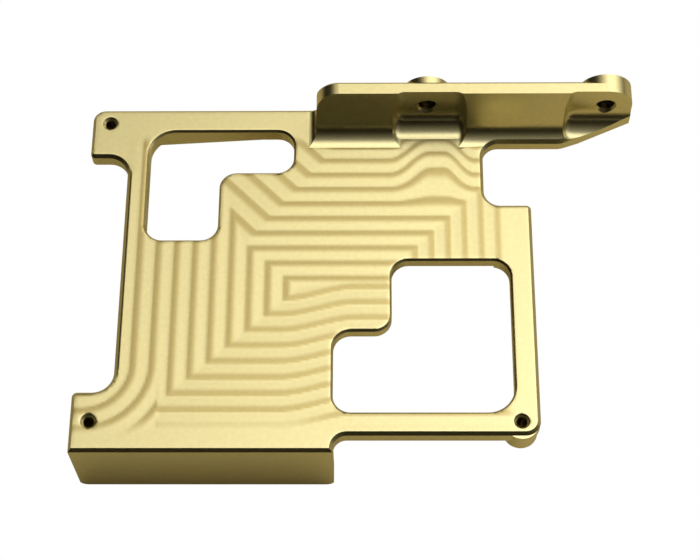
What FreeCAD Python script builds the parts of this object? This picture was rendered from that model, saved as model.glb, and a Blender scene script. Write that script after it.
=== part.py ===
import FreeCAD, Part
import math
import os
import re
import Sketcher

# A bracket milled from one block of aluminium. Frame: the origin is on the axis of the front left
# hole, on the plate's top face. +X runs along the front edge, +Y to the back and +Z up. Sizes in mm.

Vector = FreeCAD.Vector
doc = FreeCAD.newDocument("machined_bracket")

# Driving dimensions. Places are measured from the origin, along X or Y.
SIZES = {
    # plate: outline, from the front left corner
    "plate_thickness": 4.0,
    "pitch_across": 100.0,
    "pitch_back": 80.0,
    "side_margin": 4.4,
    "back_margin": 4.1,
    "rail_left": 5.1,
    "front_ear_top": 7.4,
    "rear_ear_low": 70.4,
    "bar_front": 3.3,
    "rear_corner_radius": 3.0,
    "tip_radius": 1.2,
    "ear_root_radius": 5.0,
    "boss_corner_radius": 3.6,
    "notch_radius": 4.0,
    "notch_left": 93.0,
    "notch_low": 56.8,
    # rear window, an L whose long arm lies along the back
    "rear_window_left": 10.3,
    "rear_window_middle": 28.0,
    "rear_window_right": 46.2,
    "rear_window_low": 47.2,
    "rear_window_step": 65.9,
    "rear_window_top": 77.6,
    # front window, an L whose long arm lies along the front
    "front_window_left": 56.3,
    "front_window_middle": 70.2,
    "front_window_right": 98.7,
    "front_window_low": 2.3,
    "front_window_step": 22.8,
    "front_window_top": 41.5,
    "window_radius": 4.2,
    "window_large_radius": 6.4,
    # edge breaks
    "outer_chamfer": 0.8,
    "window_chamfer": 0.5,
    # flange that hangs from the front edge
    "flange_front": 7.4,
    "flange_end": 56.4,
    "flange_depth": 22.5,
    "flange_corner_radius": 2.0,
    "flange_root_radius": 3.2,
    # relief in the underside, and what hangs below it
    "relief_depth": 0.8,
    "relief_left": 12.0,
    "relief_right": 95.0,
    "relief_low": 4.5,
    "relief_top": 70.0,
    "relief_back": 80.4,
    "boss_radius": 4.05,
    "boss_depth": 7.0,
    "brace_end": 38.0,
    # tapped holes in the plate
    "hole_radius": 1.25,
    "hole_mouth_radius": 1.9,
    # wall and the arm that carries it past the plate
    "arm_front": 74.2,
    "arm_taper_start": 112.5,
    "arm_taper_end": 80.2,
    "arm_end": 129.8,
    "wall_left": 51.9,
    "wall_height": 13.0,
    "wall_corner_radius": 5.5,
    "rim_front": 80.45,
    "panel_foot": 76.6,
    "panel_foot_radius": 5.0,
    "wall_outer_radius": 6.5,
    "wall_end_radius": 2.0,
    "arm_slope_start": 113.0,
    "arm_tip_thickness": 0.6,
    # recesses milled into the wall's front, one round each hole
    "recess_back": 80.9,
    "recess_floor": 1.5,
    "recess_floor_radius": 3.5,
    "recess_corner_radius": 3.0,
    "recess_foot_corner_radius": 2.0,
    "recess_step_back": 80.3,
    "recess_step_radius": 5.0,
    "recess_width": 18.5,
    "first_recess_left": 70.6,
    "second_recess_left": 112.9,
    "second_recess_width": 24.0,
    # holes through the wall, and the bosses behind it
    "wall_hole_height": 6.5,
    "wall_hole_first": 79.2,
    "wall_hole_pitch": 44.1,
    "wall_hole_radius": 2.1,
    "wall_hole_mouth_radius": 2.6,
    "wall_boss_radius": 5.75,
    "wall_end_boss_radius": 6.5,
    "wall_boss_length": 1.8,
}


def size_sheet():
    """Writes the driving dimensions to the document's sheet, one alias a row."""
    sheet = doc.addObject("Spreadsheet::Sheet", "Sizes")
    for row, (name, value) in enumerate(SIZES.items(), start=1):
        sheet.set(f"A{row}", name)
        sheet.set(f"B{row}", str(value))
        sheet.setAlias(f"B{row}", name)
    doc.recompute()
    return sheet


sheet = size_sheet()


def with_sheet(text):
    """Puts the sheet's name before every driving dimension in an expression."""
    return re.sub(r"[a-z_]+", lambda word: "Sizes." * (word[0] in SIZES) + word[0], text)


def value(text):
    """The present value of an expression in the driving dimensions."""
    return float(sheet.evalExpression(with_sheet(text)))


def add_sketch(body, name, plane, offset="0"):
    """A sketch on one of the body's origin planes, moved along that plane's normal."""
    sketch = body.newObject("Sketcher::SketchObject", name)
    base = [feature for feature in body.Origin.OriginFeatures if feature.Role == plane][0]
    sketch.AttachmentSupport = (base, [""])
    sketch.MapMode = "FlatFace"
    sketch.setExpression("AttachmentOffset.Base.z", with_sheet(offset))
    return sketch


def fix_point(sketch, geometry, end, across, up):
    """Ties one point of a sketch to two expressions."""
    for kind, text in (("DistanceX", across), ("DistanceY", up)):
        constraint = Sketcher.Constraint(kind, -1, 1, geometry, end, value(text))
        index = sketch.addConstraint(constraint)
        sketch.setExpression(f"Constraints[{index}]", with_sheet(text))


def add_arc(sketch, start, stop, radius):
    """An arc that turns left from start to stop, its radius tied to an expression."""
    half = (stop - start) * 0.5
    reach = math.sqrt(value(radius) ** 2 - half.Length ** 2)
    centre = start + half + Vector(-half.y, half.x, 0).normalize() * reach
    circle = Part.Circle(centre, Vector(0, 0, 1), value(radius))
    angles = [math.atan2(end.y - centre.y, end.x - centre.x) for end in (start, stop)]
    geometry = sketch.addGeometry(Part.ArcOfCircle(circle, *angles))
    index = sketch.addConstraint(Sketcher.Constraint("Radius", geometry, value(radius)))
    sketch.setExpression(f"Constraints[{index}]", with_sheet(radius))


def add_outline(sketch, corners, arcs=None):
    """A closed outline with its corners given as pairs of expressions.

    Its sides are straight, but for those in arcs: a corner's number to the radius of the
    arc that follows it.
    """
    arcs = arcs or {}
    points = [Vector(value(across), value(up), 0) for across, up in corners]
    count = len(points)
    first = sketch.GeometryCount
    for i in range(count):
        stop = points[(i + 1) % count]
        if i in arcs:
            add_arc(sketch, points[i], stop, arcs[i])
        else:
            sketch.addGeometry(Part.LineSegment(points[i], stop))
    for i in range(count):
        joint = Sketcher.Constraint("Coincident", first + i, 2, first + (i + 1) % count, 1)
        sketch.addConstraint(joint)
        fix_point(sketch, first + i, 1, *corners[i])


def add_circle(sketch, across, up, radius):
    """A circle with its centre and radius tied to expressions."""
    centre = Vector(value(across), value(up), 0)
    geometry = sketch.addGeometry(Part.Circle(centre, Vector(0, 0, 1), value(radius)))
    index = sketch.addConstraint(Sketcher.Constraint("Radius", geometry, value(radius)))
    sketch.setExpression(f"Constraints[{index}]", with_sheet(radius))
    fix_point(sketch, geometry, 3, across, up)


def check_feature(feature):
    """Stops the build at the first feature that fails."""
    failed = "Invalid" in feature.State or "Error" in feature.State
    if failed or feature.Shape.isNull() or not feature.Shape.isValid():
        raise ValueError("failed: " + feature.Name)


def add_feature(body, kind, name, sketch, length, reverse=False):
    """A pad or pocket of one sketch, its length tied to an expression."""
    feature = body.newObject("PartDesign::" + kind, name)
    feature.Profile = sketch
    feature.Reversed = reverse
    feature.setExpression("Length", with_sheet(length))
    doc.recompute()
    check_feature(feature)
    body.Tip = feature
    return feature


def edge_names(shape, wanted):
    """The names of the edges that a test accepts."""
    return [f"Edge{i}" for i, edge in enumerate(shape.Edges, start=1) if wanted(edge)]


def add_edge_feature(body, kind, name, wanted, length):
    """A fillet or chamfer on the present shape's edges that a test accepts."""
    base = body.Tip
    names = edge_names(base.Shape, wanted)
    if not names:
        raise ValueError("no edges found for " + name)
    feature = body.newObject("PartDesign::" + kind, name)
    feature.Base = (base, names)
    field = "Radius" if kind == "Fillet" else "Size"
    feature.setExpression(field, with_sheet(length))
    doc.recompute()
    check_feature(feature)
    body.Tip = feature
    return feature


def is_line_along(edge, axis):
    """True for a straight edge along one axis."""
    if not isinstance(edge.Curve, Part.Line):
        return False
    return abs(edge.tangentAt(edge.FirstParameter).dot(axis)) > 0.999


def upright_at(places):
    """A test for upright edges that stand at one of the given places."""
    points = [Vector(value(across), value(back), 0) for across, back in places]

    def wanted(edge):
        if not is_line_along(edge, Vector(0, 0, 1)):
            return False
        foot = Vector(edge.CenterOfMass.x, edge.CenterOfMass.y, 0)
        return any(foot.distanceToPoint(point) < 0.05 for point in points)

    return wanted


def add_block(body):
    """The block that the bracket is milled from, as high as the wall."""
    sketch = add_sketch(body, "block_outline", "XY_Plane", "-plate_thickness")
    add_outline(sketch, [
        ("-side_margin", "-flange_front"),
        ("arm_end", "-flange_front"),
        ("arm_end", "pitch_back + back_margin"),
        ("-side_margin", "pitch_back + back_margin"),
    ])
    add_feature(body, "Pad", "block", sketch, "plate_thickness + wall_height")


def mill_top(body):
    """Mills the plate's top face, up to the wall's left end and its sloping front.

    Each cut ends in a fillet at the wall's foot. The front's fillet touches the plate one
    foot_reach before the slope would.
    """
    sketch = add_sketch(body, "wall_end_profile", "XZ_Plane", "flange_front + 1")
    add_outline(sketch, [
        ("-side_margin - 1", "0"),
        ("wall_left - wall_end_radius", "0"),
        ("wall_left", "wall_end_radius"),
        ("wall_left", "wall_height + 1"),
        ("-side_margin - 1", "wall_height + 1"),
    ], {1: "wall_end_radius"})
    depth = "flange_front + pitch_back + back_margin + 2"
    add_feature(body, "Pocket", "wall_end", sketch, depth)
    slope = "atan((rim_front - panel_foot) / wall_height)"
    reach = f"panel_foot_radius * tan(45 deg - {slope} / 2)"
    sketch = add_sketch(body, "wall_front_profile", "YZ_Plane", "-side_margin - 1")
    add_outline(sketch, [
        ("-flange_front - 1", "0"),
        (f"panel_foot - {reach}", "0"),
        (f"panel_foot + {reach} * sin({slope})", f"{reach} * cos({slope})"),
        ("rim_front", "wall_height"),
        ("rim_front", "wall_height + 1"),
        ("-flange_front - 1", "wall_height + 1"),
    ], {1: "panel_foot_radius"})
    add_feature(body, "Pocket", "wall_front", sketch, "side_margin + arm_end + 2", reverse=True)


def round_wall_corners(body):
    """The wall's two upper corners."""
    def upper_corner(across):
        def wanted(edge):
            middle = edge.CenterOfMass
            at_top = abs(middle.z - value("wall_height")) < 0.05
            return at_top and abs(middle.x - value(across)) < 0.05
        return wanted

    add_edge_feature(body, "Fillet", "wall_left_corner", upper_corner("wall_left"),
                     "wall_corner_radius")
    add_edge_feature(body, "Fillet", "wall_right_corner", upper_corner("arm_end"),
                     "wall_outer_radius")


def cut_outline(body):
    """Cuts the left side between the ears, and the right side with its notch and arm."""
    sketch = add_sketch(body, "outline_cuts", "XY_Plane", "wall_height + 1")
    add_outline(sketch, [
        ("-side_margin - 1", "front_ear_top"),
        ("rail_left", "front_ear_top"),
        ("rail_left", "rear_ear_low"),
        ("-side_margin - 1", "rear_ear_low"),
    ])
    add_outline(sketch, [
        ("flange_end", "-flange_front - 1"),
        ("arm_end + 1", "-flange_front - 1"),
        ("arm_end + 1", "arm_taper_end"),
        ("arm_end", "arm_taper_end"),
        ("arm_taper_start", "arm_front"),
        ("notch_left", "arm_front"),
        ("notch_left", "notch_low"),
        ("pitch_across + side_margin", "notch_low"),
        ("pitch_across + side_margin", "-bar_front"),
        ("flange_end", "-bar_front"),
    ])
    add_feature(body, "Pocket", "outline", sketch, "wall_height + plate_thickness + 2")


def add_flange(body):
    """The flange that hangs from the front edge, with its lower corners rounded."""
    sketch = add_sketch(body, "flange_outline", "XY_Plane", "-plate_thickness")
    add_outline(sketch, [
        ("-side_margin", "-flange_front"),
        ("flange_end", "-flange_front"),
        ("flange_end", "-bar_front"),
        ("-side_margin", "-bar_front"),
    ])
    depth = "flange_depth - plate_thickness"
    add_feature(body, "Pad", "front_flange", sketch, depth, reverse=True)

    def lower_corner(edge):
        low = abs(edge.CenterOfMass.z + value("flange_depth")) < 0.05
        return low and is_line_along(edge, Vector(0, 1, 0))

    add_edge_feature(body, "Fillet", "flange_corners", lower_corner, "flange_corner_radius")


def add_bosses(body):
    """Round bosses below the plate's edge break, one at each tapped hole."""
    sketch = add_sketch(body, "boss_outlines", "XY_Plane", "-outer_chamfer")
    for across, back in (("0", "0"), ("pitch_across", "0"), ("0", "pitch_back")):
        add_circle(sketch, across, back, "boss_radius")
    add_feature(body, "Pad", "hole_bosses", sketch, "boss_depth - outer_chamfer", reverse=True)


def add_brace(body):
    """A sloping brace below the back rail, deepest at the rear left boss."""
    sketch = add_sketch(body, "brace_outline", "XZ_Plane", "-rear_window_top")
    add_outline(sketch, [
        ("0", "-plate_thickness / 2"),
        ("brace_end", "-plate_thickness / 2"),
        ("brace_end", "-plate_thickness"),
        ("2 * boss_radius", "-boss_depth"),
        ("0", "-boss_depth"),
    ])
    depth = "pitch_back + back_margin - rear_window_top"
    add_feature(body, "Pad", "back_brace", sketch, depth, reverse=True)


def round_plate_corners(body):
    """The outline's corner radii."""
    ears = [("-side_margin", "front_ear_top"), ("-side_margin", "rear_ear_low")]
    tip = [("pitch_across + side_margin", "notch_low")]
    add_edge_feature(body, "Fillet", "small_corners", upright_at(ears + tip), "tip_radius")
    rear = [("-side_margin", "pitch_back + back_margin")]
    add_edge_feature(body, "Fillet", "rear_corner", upright_at(rear), "rear_corner_radius")
    boss = [("pitch_across + side_margin", "-bar_front")]
    add_edge_feature(body, "Fillet", "front_right_corner", upright_at(boss),
                     "boss_corner_radius")
    notch = [("notch_left", "notch_low"), ("notch_left", "arm_front")]
    add_edge_feature(body, "Fillet", "notch_corners", upright_at(notch), "notch_radius")
    add_edge_feature(body, "Fillet", "flange_root", upright_at([("flange_end", "-bar_front")]),
                     "flange_root_radius")
    roots = [("rail_left", "rear_ear_low"), ("rail_left", "front_ear_top"),
             ("arm_taper_start", "arm_front")]
    add_edge_feature(body, "Fillet", "ear_roots", upright_at(roots), "ear_root_radius")


def cut_windows(body):
    """The two L-shaped windows, cut through, then their corner radii."""
    rear = [
        ("rear_window_left", "rear_window_low"),
        ("rear_window_middle", "rear_window_low"),
        ("rear_window_middle", "rear_window_step"),
        ("rear_window_right", "rear_window_step"),
        ("rear_window_right", "rear_window_top"),
        ("rear_window_left", "rear_window_top"),
    ]
    front = [
        ("front_window_left", "front_window_low"),
        ("front_window_right", "front_window_low"),
        ("front_window_right", "front_window_top"),
        ("front_window_middle", "front_window_top"),
        ("front_window_middle", "front_window_step"),
        ("front_window_left", "front_window_step"),
    ]
    sketch = add_sketch(body, "window_outlines", "XY_Plane")
    add_outline(sketch, rear)
    add_outline(sketch, front)
    add_feature(body, "Pocket", "windows", sketch, "boss_depth + 1")
    large = [rear[5], front[1]]
    small = [corner for corner in rear + front if corner not in large]
    add_edge_feature(body, "Fillet", "window_corners", upright_at(small), "window_radius")
    add_edge_feature(body, "Fillet", "window_large_corners", upright_at(large),
                     "window_large_radius")


def cut_relief(body):
    """The shallow relief in the underside, inside the thicker border."""
    sketch = add_sketch(body, "relief_outline", "XY_Plane", "-plate_thickness")
    add_outline(sketch, [
        ("relief_left", "relief_low"),
        ("relief_right", "relief_low"),
        ("relief_right", "relief_top"),
        ("arm_end + 1", "relief_top"),
        ("arm_end + 1", "relief_back"),
        ("wall_left", "relief_back"),
        ("wall_left", "relief_top"),
        ("relief_left", "relief_top"),
    ])
    add_feature(body, "Pocket", "underside_relief", sketch, "relief_depth", reverse=True)


def slope_arm(body):
    """Cuts the arm's underside up towards its end."""
    sketch = add_sketch(body, "arm_slope_profile", "XZ_Plane", "-arm_front + 1")
    add_outline(sketch, [
        ("arm_slope_start", "-plate_thickness"),
        ("arm_end", "-arm_tip_thickness"),
        ("arm_end + 1", "-arm_tip_thickness"),
        ("arm_end + 1", "-plate_thickness - 1"),
        ("arm_slope_start", "-plate_thickness - 1"),
    ])
    depth = "pitch_back + back_margin - arm_front + 2"
    add_feature(body, "Pocket", "arm_slope", sketch, depth)


def is_flat_at(edge, height):
    """True for an edge that lies level at one height."""
    box = edge.BoundBox
    return abs(box.ZMin - height) < 0.001 and abs(box.ZMax - height) < 0.001


def lies_within(edge, left, right, low, high):
    """True for an edge inside a box seen from above, its sides given as expressions."""
    box = edge.BoundBox
    across = box.XMin > value(left) - 1 and box.XMax < value(right) + 1
    return across and box.YMin > value(low) - 1 and box.YMax < value(high) + 1


def in_window(edge):
    """True for an edge of either window."""
    rear = lies_within(edge, "rear_window_left", "rear_window_right",
                       "rear_window_low", "rear_window_top")
    front = lies_within(edge, "front_window_left", "front_window_right",
                        "front_window_low", "front_window_top")
    return rear or front


def break_edges(body):
    """Chamfers round the top face: wide outside, narrower in the windows."""
    def window_edge(edge):
        return is_flat_at(edge, 0) and in_window(edge)

    def outer_edge(edge):
        box = edge.BoundBox
        by_wall = box.XMax > value("wall_left") and box.YMax > value("arm_front - 1")
        at_foot = box.XLength < 0.01 and box.XMin > value("rail_left") and box.YMax > value("arm_front")
        return is_flat_at(edge, 0) and not (by_wall or at_foot or in_window(edge))

    add_edge_feature(body, "Chamfer", "window_edge_breaks", window_edge, "window_chamfer")
    add_edge_feature(body, "Chamfer", "outer_edge_breaks", outer_edge, "outer_chamfer")


def cut_recess(body, name, left, width):
    """A stepped recess in the wall's front: a deeper upper part over a shallower foot."""
    steps = [
        ("upper", "recess_back", "recess_floor", "recess_floor_radius", "recess_corner_radius"),
        ("lower", "recess_step_back", "0", "recess_step_radius", "recess_foot_corner_radius"),
    ]
    cutters = []
    for step, back, floor, radius, corner in steps:
        cutter = doc.addObject("PartDesign::Body", f"{name}_{step}_cutter")
        sketch = add_sketch(cutter, f"{name}_{step}_profile", "YZ_Plane", left)
        add_outline(sketch, [
            ("arm_front - 3", floor),
            (back, floor),
            (back, "wall_height + 1"),
            ("arm_front - 3", "wall_height + 1"),
        ])
        add_feature(cutter, "Pad", f"{name}_{step}_block", sketch, width)

        def floor_edge(edge):
            middle = edge.CenterOfMass
            near = abs(middle.y - value(back)) < 0.01 and abs(middle.z - value(floor)) < 0.01
            return near and is_line_along(edge, Vector(1, 0, 0))

        def side_corner(edge):
            middle = edge.CenterOfMass
            return abs(middle.y - value(back)) < 0.01 and is_line_along(edge, Vector(0, 0, 1))

        add_edge_feature(cutter, "Fillet", f"{name}_{step}_floor", floor_edge, radius)
        add_edge_feature(cutter, "Fillet", f"{name}_{step}_corners", side_corner, corner)
        cutters.append(cutter)
    cut = body.newObject("PartDesign::Boolean", name)
    cut.Type = "Cut"
    cut.setObjects(cutters)
    doc.recompute()
    check_feature(cut)
    body.Tip = cut


def add_wall_bosses(body):
    """Round bosses on the wall's back, one behind each wall hole."""
    sketch = add_sketch(body, "wall_boss_outlines", "XZ_Plane", "-pitch_back - back_margin + 1")
    add_circle(sketch, "wall_hole_first", "wall_hole_height", "wall_boss_radius")
    add_circle(sketch, "wall_hole_first + wall_hole_pitch", "wall_hole_height",
               "wall_end_boss_radius")
    add_feature(body, "Pad", "wall_bosses", sketch, "wall_boss_length + 1", reverse=True)


def round_mouth(radius, wanted):
    """A test for round edges of one radius that also pass another test."""
    def test(edge):
        around = 2 * math.pi * value(radius)
        return edge.isClosed() and abs(edge.Length - around) < 0.01 and wanted(edge)

    return test


def drill_plate_holes(body):
    """Tapping holes through the bosses, each with a countersunk mouth."""
    sketch = add_sketch(body, "hole_centres", "XY_Plane")
    for across, back in (("0", "0"), ("pitch_across", "0"), ("0", "pitch_back")):
        add_circle(sketch, across, back, "hole_radius")
    add_feature(body, "Pocket", "plate_holes", sketch, "boss_depth + 1")
    mouth = round_mouth("hole_radius", lambda edge: is_flat_at(edge, 0))
    add_edge_feature(body, "Chamfer", "hole_mouths", mouth, "hole_mouth_radius - hole_radius")


def drill_wall_holes(body):
    """Tapping holes through the wall and its bosses, with countersunk mouths in front."""
    centres = ["wall_hole_first", "wall_hole_first + wall_hole_pitch"]
    sketch = add_sketch(body, "wall_hole_centres", "XZ_Plane", "-recess_back + 1")
    for across in centres:
        add_circle(sketch, across, "wall_hole_height", "wall_hole_radius")
    depth = "pitch_back + back_margin + wall_boss_length - recess_back + 2"
    add_feature(body, "Pocket", "wall_holes", sketch, depth)
    mouths = add_sketch(body, "wall_hole_mouth_outlines", "XZ_Plane", "-recess_back + 1")
    for across in centres:
        add_circle(mouths, across, "wall_hole_height", "wall_hole_mouth_radius + 1")
    depth = "wall_hole_mouth_radius + 1 - wall_hole_radius"
    cones = add_feature(body, "Pocket", "wall_hole_mouths", mouths, depth)
    cones.TaperAngle = -45
    doc.recompute()
    check_feature(cones)


bracket = doc.addObject("PartDesign::Body", "machined_bracket")
bracket.Label = "machined_bracket"
add_block(bracket)
mill_top(bracket)
round_wall_corners(bracket)
cut_outline(bracket)
round_plate_corners(bracket)
add_flange(bracket)
cut_windows(bracket)
break_edges(bracket)
add_bosses(bracket)
add_brace(bracket)
cut_relief(bracket)
slope_arm(bracket)
cut_recess(bracket, "middle_recess", "first_recess_left", "recess_width")
cut_recess(bracket, "end_recess", "second_recess_left", "second_recess_width")
add_wall_bosses(bracket)
drill_plate_holes(bracket)
drill_wall_holes(bracket)
doc.recompute()

for item in doc.Objects:
    if "Invalid" in item.State or "Error" in item.State:
        raise ValueError("failed: " + item.Name)
if bracket.Shape.isNull() or not bracket.Shape.isValid() or len(bracket.Shape.Solids) != 1:
    raise ValueError("the bracket is not one valid solid")
print("volume", round(bracket.Shape.Volume), "mm3", bracket.Shape.BoundBox)
os.makedirs("parts", exist_ok=True)
bracket.Shape.exportStep("parts/machined_bracket.step")
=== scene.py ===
# %% [markdown]
# # A milled aluminium bracket with a yellow conversion coat
#
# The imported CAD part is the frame, in metres. Over its flat top this file lays the shallow
# lines that the milling cutter left, and it cuts the threads that show in the holes. The rest
# is one satin metal, a dark studio with a bright ceiling, and a long lens.

# %%
import math

import bmesh
import bpy
import numpy as np
from mathutils import Matrix, Vector


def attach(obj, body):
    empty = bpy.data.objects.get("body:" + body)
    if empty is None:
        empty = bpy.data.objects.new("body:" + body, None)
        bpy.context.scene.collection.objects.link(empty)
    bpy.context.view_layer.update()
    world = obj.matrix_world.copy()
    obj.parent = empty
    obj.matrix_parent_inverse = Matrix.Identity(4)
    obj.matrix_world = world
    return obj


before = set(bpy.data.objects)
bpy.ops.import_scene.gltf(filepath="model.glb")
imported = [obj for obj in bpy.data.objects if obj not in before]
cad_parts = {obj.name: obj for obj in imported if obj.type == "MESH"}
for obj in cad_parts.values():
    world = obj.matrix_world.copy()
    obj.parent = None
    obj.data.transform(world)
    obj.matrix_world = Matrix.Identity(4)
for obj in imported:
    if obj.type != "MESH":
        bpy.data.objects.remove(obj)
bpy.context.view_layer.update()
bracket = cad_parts["machined_bracket"]
MM = 0.001

# %% [markdown]
# ## Helpers
#
# Colours are given as sRGB hex. Shader nodes are added by one function, which sets values and
# makes links in one call.


# %%
def linear(hex_colour):
    """An sRGB hex colour as linear RGBA."""
    parts = [int(hex_colour[i:i + 2], 16) / 255 for i in (1, 3, 5)]
    return [p / 12.92 if p <= 0.04045 else ((p + 0.055) / 1.055) ** 2.4 for p in parts] + [1.0]


def add_node(tree, kind, settings=None, values=None, links=None):
    """A shader node with its settings, socket values and incoming links."""
    node = tree.nodes.new("ShaderNode" + kind)
    for name, setting in (settings or {}).items():
        setattr(node, name, setting)
    for socket, value in (values or {}).items():
        node.inputs[socket].default_value = value
    for socket, source in (links or {}).items():
        tree.links.new(source, node.inputs[socket])
    return node


def new_object(name, mesh):
    """A mesh as an object in the scene."""
    thing = bpy.data.objects.new(name, mesh)
    bpy.context.collection.objects.link(thing)
    return thing


print("middle grey in linear light:", round(linear("#808080")[0], 3))


# %% [markdown]
# ## The coated metal
#
# Aluminium dipped in a chromate bath takes a thin yellow film. To the eye it is still a metal,
# tinted pale gold, with the satin of the milled surface below. It could be a coat over grey
# metal, but the film is too thin to show an edge, so a tinted metal is simpler and looks the
# same. A real grain is finer than a tenth of a millimetre, so it is drawn coarser, at 0.4 mm, to
# show at all. On the milled top a painted shade darkens each cutter's pass near its ridge,
# standing in for the dimmer reflection of the tilted track; each vertex carries its strength in
# the attribute `pass`. Inside the tapped holes the metal is painted darker, as painted shade for
# the unlit bores.


# %%
GRAINS_PER_METRE = 2600
CLOUDS_PER_METRE = 900
GRAIN_HEIGHT = 0.0002
CLOUD_SHADE = 0.86
# Painted shade for the cutter's passes, standing in for the dimmer reflection of their tilted
# tracks.
PASS_PAINTED_SHADE = "#D9D0BC"


def coated_metal(name, hex_colour, roughness, milled=False):
    """Satin chromate-converted aluminium."""
    material = bpy.data.materials.new(name)
    material.use_nodes = True
    tree = material.node_tree
    shader = tree.nodes["Principled BSDF"]
    shader.inputs["Metallic"].default_value = 1.0
    shader.inputs["Roughness"].default_value = roughness
    place = add_node(tree, "TexCoord").outputs["Object"]
    grain = add_node(tree, "TexNoise", values={"Scale": GRAINS_PER_METRE, "Detail": 3},
                     links={"Vector": place})
    cloud = add_node(tree, "TexNoise", values={"Scale": CLOUDS_PER_METRE, "Detail": 2},
                     links={"Vector": place})
    bump = add_node(tree, "Bump", values={"Strength": 0.10, "Distance": GRAIN_HEIGHT},
                    links={"Height": grain.outputs["Fac"]})
    tree.links.new(bump.outputs[0], shader.inputs["Normal"])
    base = linear(hex_colour)
    deep = [part * CLOUD_SHADE for part in base[:3]] + [1.0]
    tint = add_node(tree, "Mix", {"data_type": "RGBA"}, {"A": deep, "B": base})
    tree.links.new(cloud.outputs["Fac"], tint.inputs["Factor"])
    colour = tint.outputs["Result"]
    # The painted shade of the passes, multiplied into the coat's colour.
    if milled:
        lay = add_node(tree, "Attribute", {"attribute_name": "pass"})
        shade = add_node(tree, "Mix", {"data_type": "RGBA", "blend_type": "MULTIPLY"},
                         {"B": linear(PASS_PAINTED_SHADE)},
                         {"Factor": lay.outputs["Fac"], "A": colour})
        colour = shade.outputs["Result"]
    tree.links.new(colour, shader.inputs["Base Color"])
    return material


# The second colour is painted shade for the metal inside the holes, which sits unlit.
COAT, BORE_SHADE = "#FAEFB8", "#75663A"
coat = coated_metal("chromate-converted aluminium", COAT, 0.30)
# This copy of the coat carries the painted shade of the passes.
milled_coat_painted_shade = coated_metal("chromate-converted aluminium, milled, painted pass shade", COAT, 0.36, milled=True)
# Painted shade: a darker copy of the coat for the unlit bores.
bore_shade_coat = coated_metal("chromate-converted aluminium, painted bore shade", BORE_SHADE, 0.30)
bracket.data.materials.clear()
bracket.data.materials.append(coat)
print("materials:", coat.name, milled_coat_painted_shade.name, bore_shade_coat.name)

# %% [markdown]
# ## The cutter's passes
#
# The plate's top was cleared by a cutter that spiralled out from a point left of the middle,
# in passes about 4 mm apart. The passes run parallel to whichever side is nearest, so the number
# of the pass at a point is the largest of four distances: to the left, the top, the bottom and
# the right of the spiral's start. Four bends are added: the passes swing round the front left
# ear, climb towards the front window, slant off to the rear window's inner corner, and rise to
# the recess in the wall. The lines could be drawn one by one as curves, but one formula for the
# whole face is shorter, and its passes can't cross. All places are in mm.

# %%
SPIRAL_LEFT, SPIRAL_RIGHT = 44.0, 68.8
SPIRAL_TOP, SPIRAL_BOTTOM = 37.6, 30.3
SIDE_PITCH, TOP_PITCH = 4.45, 4.05
BEND_START, BEND_LEAN = (38.0, 50.0), 0.8
EAR_CENTRE = (-2.0, 14.0)
EAR_REACH = 15.5
RECESS_RISE, RECESS_NEAR, RECESS_LEFT, RECESS_RIGHT = 6.0, (54, 70), (70, 80), (83.5, 91)
WINDOW_CLIMB, WINDOW_NEAR = 3.2, (44, 62)
RIGHT_FROM = 40.0
REAR_EAR_FROM = 66.0


def ease(start, stop, value):
    """0 before start, 1 after stop, and smooth between them."""
    share = np.clip((value - start) / (stop - start), 0, 1)
    return share * share * (3 - 2 * share)


def pass_number(x, y):
    """How many passes lie between the spiral's start and a point."""
    around_ear = np.hypot(x - EAR_CENTRE[0], EAR_CENTRE[1] - y) + EAR_CENTRE[0]
    across = np.where((y < EAR_CENTRE[1]) & (x < EAR_REACH), around_ear, x)
    left = (SPIRAL_LEFT - across) / SIDE_PITCH
    beside = ease(*RECESS_LEFT, x) * (1 - ease(*RECESS_RIGHT, x))
    to_recess = RECESS_RISE * ease(*RECESS_NEAR, y) * beside
    top = (y - to_recess - SPIRAL_TOP) / TOP_PITCH
    bend = BEND_START[0] + BEND_LEAN * (y - BEND_START[1])
    slant = (x - BEND_START[0] + y - BEND_START[1]) / (1 + BEND_LEAN) / TOP_PITCH
    slanted = (BEND_START[1] - SPIRAL_TOP) / TOP_PITCH + slant
    top = np.where((x < bend) & (y > BEND_START[1] - 5), slanted, top)
    climb = WINDOW_CLIMB * ease(*WINDOW_NEAR, x)
    bottom = np.where(x > EAR_REACH, (SPIRAL_BOTTOM - y + climb) / TOP_PITCH, -1)
    right = np.where(y > RIGHT_FROM, (x - SPIRAL_RIGHT) / TOP_PITCH, -1)
    return np.maximum.reduce([left, top, bottom, right])


def pass_strength(x, y):
    """1 where the passes show, fading to 0 on the plain bars and at the wall's foot."""
    front = ease(-3, 2, y + 2 * ease(20, 0, x))
    back = 1 - ease(73.5, 76.5, y)
    side = 1 - ease(96, 99.5, x)
    rear_ear = np.where(y > REAR_EAR_FROM, ease(5, 9, x), 1)
    return front * back * side * rear_ear


front_left = pass_number(np.array([0.0]), np.array([0.0]))[0]
print("passes from the spiral's start to the front left hole:", round(float(front_left), 1))


# %% [markdown]
# ## The milled skin
#
# The cutter leaves each pass a few hundredths of a millimetre lower at its middle, and that is
# enough to bend the reflections. A bump texture could do it, but real geometry is kept in the
# exported mesh. So the CAD part's own top face is sliced into half-millimetre cells, and each
# corner is lifted, following the passes. The border stays down on the face, so no gap shows.

# %%
CELL = 0.5
PASS_DEPTH = 0.055
SKIN_LIFT = 0.02
BORDER_LIFT = 0.002
FIRST_CUT = 0.013
RISING_SHARE = 0.72


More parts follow.
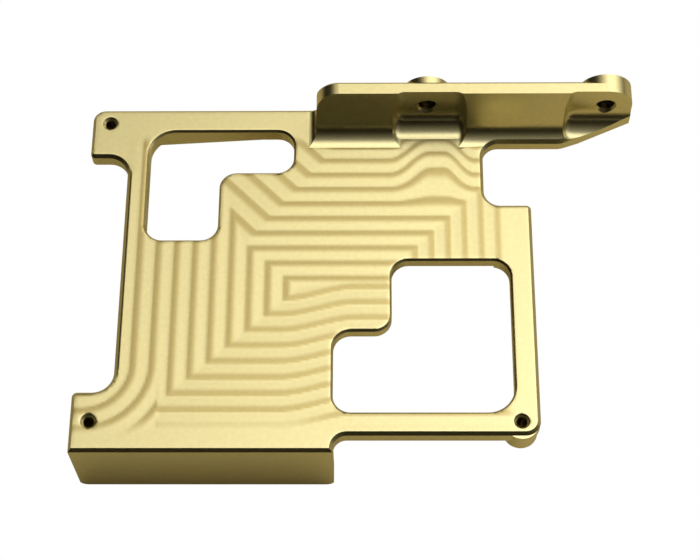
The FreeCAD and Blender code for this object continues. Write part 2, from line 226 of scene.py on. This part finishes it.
def top_face_cells():
    """The part's flat top as a fine grid, cut by upright planes along X and along Y."""
    grid = bmesh.new()
    grid.from_mesh(bracket.data)
    raised = [f for f in grid.faces if f.normal.z < 0.999 or abs(f.calc_center_median().z) > 1e-5]
    bmesh.ops.delete(grid, geom=raised, context="FACES")
    bmesh.ops.remove_doubles(grid, verts=grid.verts, dist=1e-6)
    bmesh.ops.dissolve_limit(grid, angle_limit=0.01, verts=grid.verts, edges=grid.edges)
    for axis in (0, 1):
        places = [vert.co[axis] / MM for vert in grid.verts]
        count = int((max(places) - min(places)) / CELL)
        normal = Vector((axis == 0, axis == 1, 0))
        for step in range(1, count + 1):
            geometry = grid.verts[:] + grid.edges[:] + grid.faces[:]
            point = normal * (min(places) + step * CELL + FIRST_CUT) * MM
            bmesh.ops.bisect_plane(grid, geom=geometry, plane_co=point, plane_no=normal)
    return grid


def milled_skin():
    """The lifted grid, with the painted shade of each pass kept for its material."""
    grid = top_face_cells()
    places = np.array([vert.co[:2] for vert in grid.verts]) / MM
    number = pass_number(places[:, 0], places[:, 1])
    strength = pass_strength(places[:, 0], places[:, 1])
    share = number % 1
    falling = 1 - RISING_SHARE
    dish = np.where(share < RISING_SHARE, share / RISING_SHARE, (1 - share) / falling)
    for vert, lift in zip(grid.verts, dish * strength):
        height = SKIN_LIFT + PASS_DEPTH * lift
        vert.co.z = BORDER_LIFT * MM if vert.is_boundary else height * MM
    mesh = bpy.data.meshes.new("milled_skin")
    grid.to_mesh(mesh)
    grid.free()
    # Painted shade: darkest near the ridge of each pass, for the dimmer reflection of the tilted
    # track.
    dark = ease(0.42, RISING_SHARE, share) * (1 - ease(0.88, 1.0, share)) * strength
    mesh.attributes.new("pass", "FLOAT", "POINT").data.foreach_set("value", dark)
    mesh.shade_smooth()
    mesh.materials.clear()
    mesh.materials.append(milled_coat_painted_shade)
    skin = new_object("milled_skin", mesh)
    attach(skin, "root")
    print("milled skin:", len(mesh.polygons), "faces")


milled_skin()

# %% [markdown]
# ## Threads
#
# The three holes in the plate are tapped M3, and the two in the wall M5. The CAD solid has
# plain bores. A thread could be cut with a screw modifier, but a sheet of points whose radius
# goes in and out once a pitch is short, and stands in from the bore's wall without a boolean.


# %%
SPOKES, ROWS_PER_TURN = 40, 6
THREAD_GAP = 0.02
THREAD_HEIGHT = 0.25


def thread(name, mouth, along, radius, pitch, length):
    """A thread of the given pitch that starts at the mouth and runs along a direction, in mm."""
    around, rows = SPOKES, int(length / pitch * ROWS_PER_TURN)
    along = Vector(along)
    side = along.orthogonal().normalized()
    other = along.cross(side)
    points, faces = [], []
    for row in range(rows + 1):
        for spoke in range(around):
            turn = spoke / around
            depth = length * row / rows
            ridge = abs((depth / pitch - turn) % 1 - 0.5) * 2
            reach = radius - THREAD_GAP - THREAD_HEIGHT * pitch * ridge
            angle = 2 * math.pi * turn
            outward = side * math.cos(angle) + other * math.sin(angle)
            points.append((Vector(mouth) + along * depth + outward * reach) * MM)
    for row in range(rows):
        for spoke in range(around):
            after = (spoke + 1) % around
            low, up = row * around, (row + 1) * around
            faces.append((low + spoke, low + after, up + after, up + spoke))
    mesh = bpy.data.meshes.new(name)
    mesh.from_pydata(points, [], faces)
    # The bore's painted shade.
    mesh.materials.append(bore_shade_coat)
    helix = new_object(name, mesh)
    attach(helix, "root")


for name, x, y in (("front_left", 0, 0), ("front_right", 100, 0), ("rear_left", 0, 80)):
    thread(f"{name}_thread", (x, y, -0.7), (0, 0, -1), 1.25, 0.5, 6.0)
for name, x in (("wall_middle", 79.2), ("wall_end", 123.3)):
    thread(f"{name}_thread", (x, 81.45, 6.5), (0, 1, 0), 2.1, 0.8, 4.2)
print("threads: 5")

# %% [markdown]
# ## The floor and the room
#
# The camera sees plain white all round. The metal sees something else: a cream table below, and
# a dark room with a ceiling that is brightest to the right and over the back. That contrast
# draws the dark edges, the dark front of the wall and the bright lines at its foot. Area lamps
# could do it, but on flat metal they show as hard-edged patches, so a smooth sky is used.

# %%
FLOOR_HEIGHT = -23.0
FLOOR_HALF = 3.0
PAPER = "#E4D6A6"
BRIGHT_SIDE = (0.42, 0.0, 0.91)
CEILING = [(0.0, "#060504"), (0.45, "#14110D"), (0.66, "#8A8474"), (0.76, "#BDB7A4"),
           (0.86, "#E9E5D8"), (0.94, "#FFFFFF")]


def white_to_camera(tree, other, output):
    """Sends plain white to camera rays, and another shader to all the rest."""
    white = add_node(tree, "Emission" if output.name == "Material Output" else "Background")
    white.inputs["Color"].default_value = (1, 1, 1, 1)
    rays = add_node(tree, "LightPath")
    mix = add_node(tree, "MixShader", links={0: rays.outputs["Is Camera Ray"], 1: other,
                                             2: white.outputs[0]})
    tree.links.new(mix.outputs[0], output.inputs["Surface"])


def make_floor():
    """A wide table just under the flange."""
    corners = [(x * FLOOR_HALF, y * FLOOR_HALF, 0) for x, y in ((-1, -1), (1, -1), (1, 1), (-1, 1))]
    mesh = bpy.data.meshes.new("floor")
    mesh.from_pydata(corners, [], [(0, 1, 2, 3)])
    floor = new_object("floor", mesh)
    floor.location.z = FLOOR_HEIGHT * MM
    paper = bpy.data.materials.new("cream table paper")
    paper.use_nodes = True
    tree = paper.node_tree
    shader = tree.nodes["Principled BSDF"]
    shader.inputs["Base Color"].default_value = linear(PAPER)
    white_to_camera(tree, shader.outputs[0], tree.nodes["Material Output"])
    mesh.materials.append(paper)


def make_room():
    """A dark room with a bright ceiling that fades out towards the front."""
    world = bpy.data.worlds.new("room")
    bpy.context.scene.world = world
    world.use_nodes = True
    tree = world.node_tree
    direction = add_node(tree, "TexCoord").outputs["Generated"]
    towards = Vector(BRIGHT_SIDE).normalized()
    facing = add_node(tree, "VectorMath", {"operation": "DOT_PRODUCT"}, {1: towards},
                      {0: direction})
    ramp = add_node(tree, "ValToRGB", links={"Fac": facing.outputs["Value"]})
    for place, colour in CEILING[:-2]:
        ramp.color_ramp.elements.new(place)
    for element, (place, colour) in zip(ramp.color_ramp.elements, CEILING):
        element.position = place
        element.color = linear(colour)
    back = add_node(tree, "SeparateXYZ", links={0: direction}).outputs["Y"]
    fade = add_node(tree, "MapRange", values={"From Min": -0.20, "From Max": 0.20,
                                              "To Min": 0.20, "To Max": 2.05},
                    links={"Value": back})
    room = tree.nodes["Background"]
    tree.links.new(fade.outputs["Result"], room.inputs["Strength"])
    tree.links.new(ramp.outputs["Color"], room.inputs["Color"])
    white_to_camera(tree, room.outputs[0], tree.nodes["World Output"])


make_floor()
make_room()
print("floor at", FLOOR_HEIGHT, "mm, and a room of", len(CEILING), "tones")

# %% [markdown]
# ## The camera
#
# A 90 mm lens looks steeply down along +Y, turned and rolled a degree or so. A long lens from
# 0.4 m keeps the plate's edges nearly parallel. The place and the angles are plain numbers in
# mm and degrees, which is easier to repeat than a tracking constraint.

# %%
CAMERA_PLACE = (64.97, -149.06, 376.20)
CAMERA_PITCH, CAMERA_YAW, CAMERA_ROLL = 63.775, 1.460, -1.370
LENS, SENSOR = 90.09, 36.0


def make_camera():
    """The camera, from its place and three angles."""
    data = bpy.data.cameras.new("camera")
    data.lens, data.sensor_width, data.clip_start = LENS, SENSOR, 0.01
    camera = bpy.data.objects.new("camera", data)
    bpy.context.collection.objects.link(camera)
    turn = (Matrix.Rotation(math.radians(CAMERA_YAW), 4, "Z")
            @ Matrix.Rotation(math.radians(90 - CAMERA_PITCH), 4, "X")
            @ Matrix.Rotation(math.radians(CAMERA_ROLL), 4, "Z"))
    camera.matrix_world = Matrix.Translation(Vector(CAMERA_PLACE) * MM) @ turn
    bpy.context.scene.camera = camera


make_camera()
bpy.context.scene.view_settings.view_transform = "Standard"
print("camera:", LENS, "mm lens at", CAMERA_PLACE, "mm")
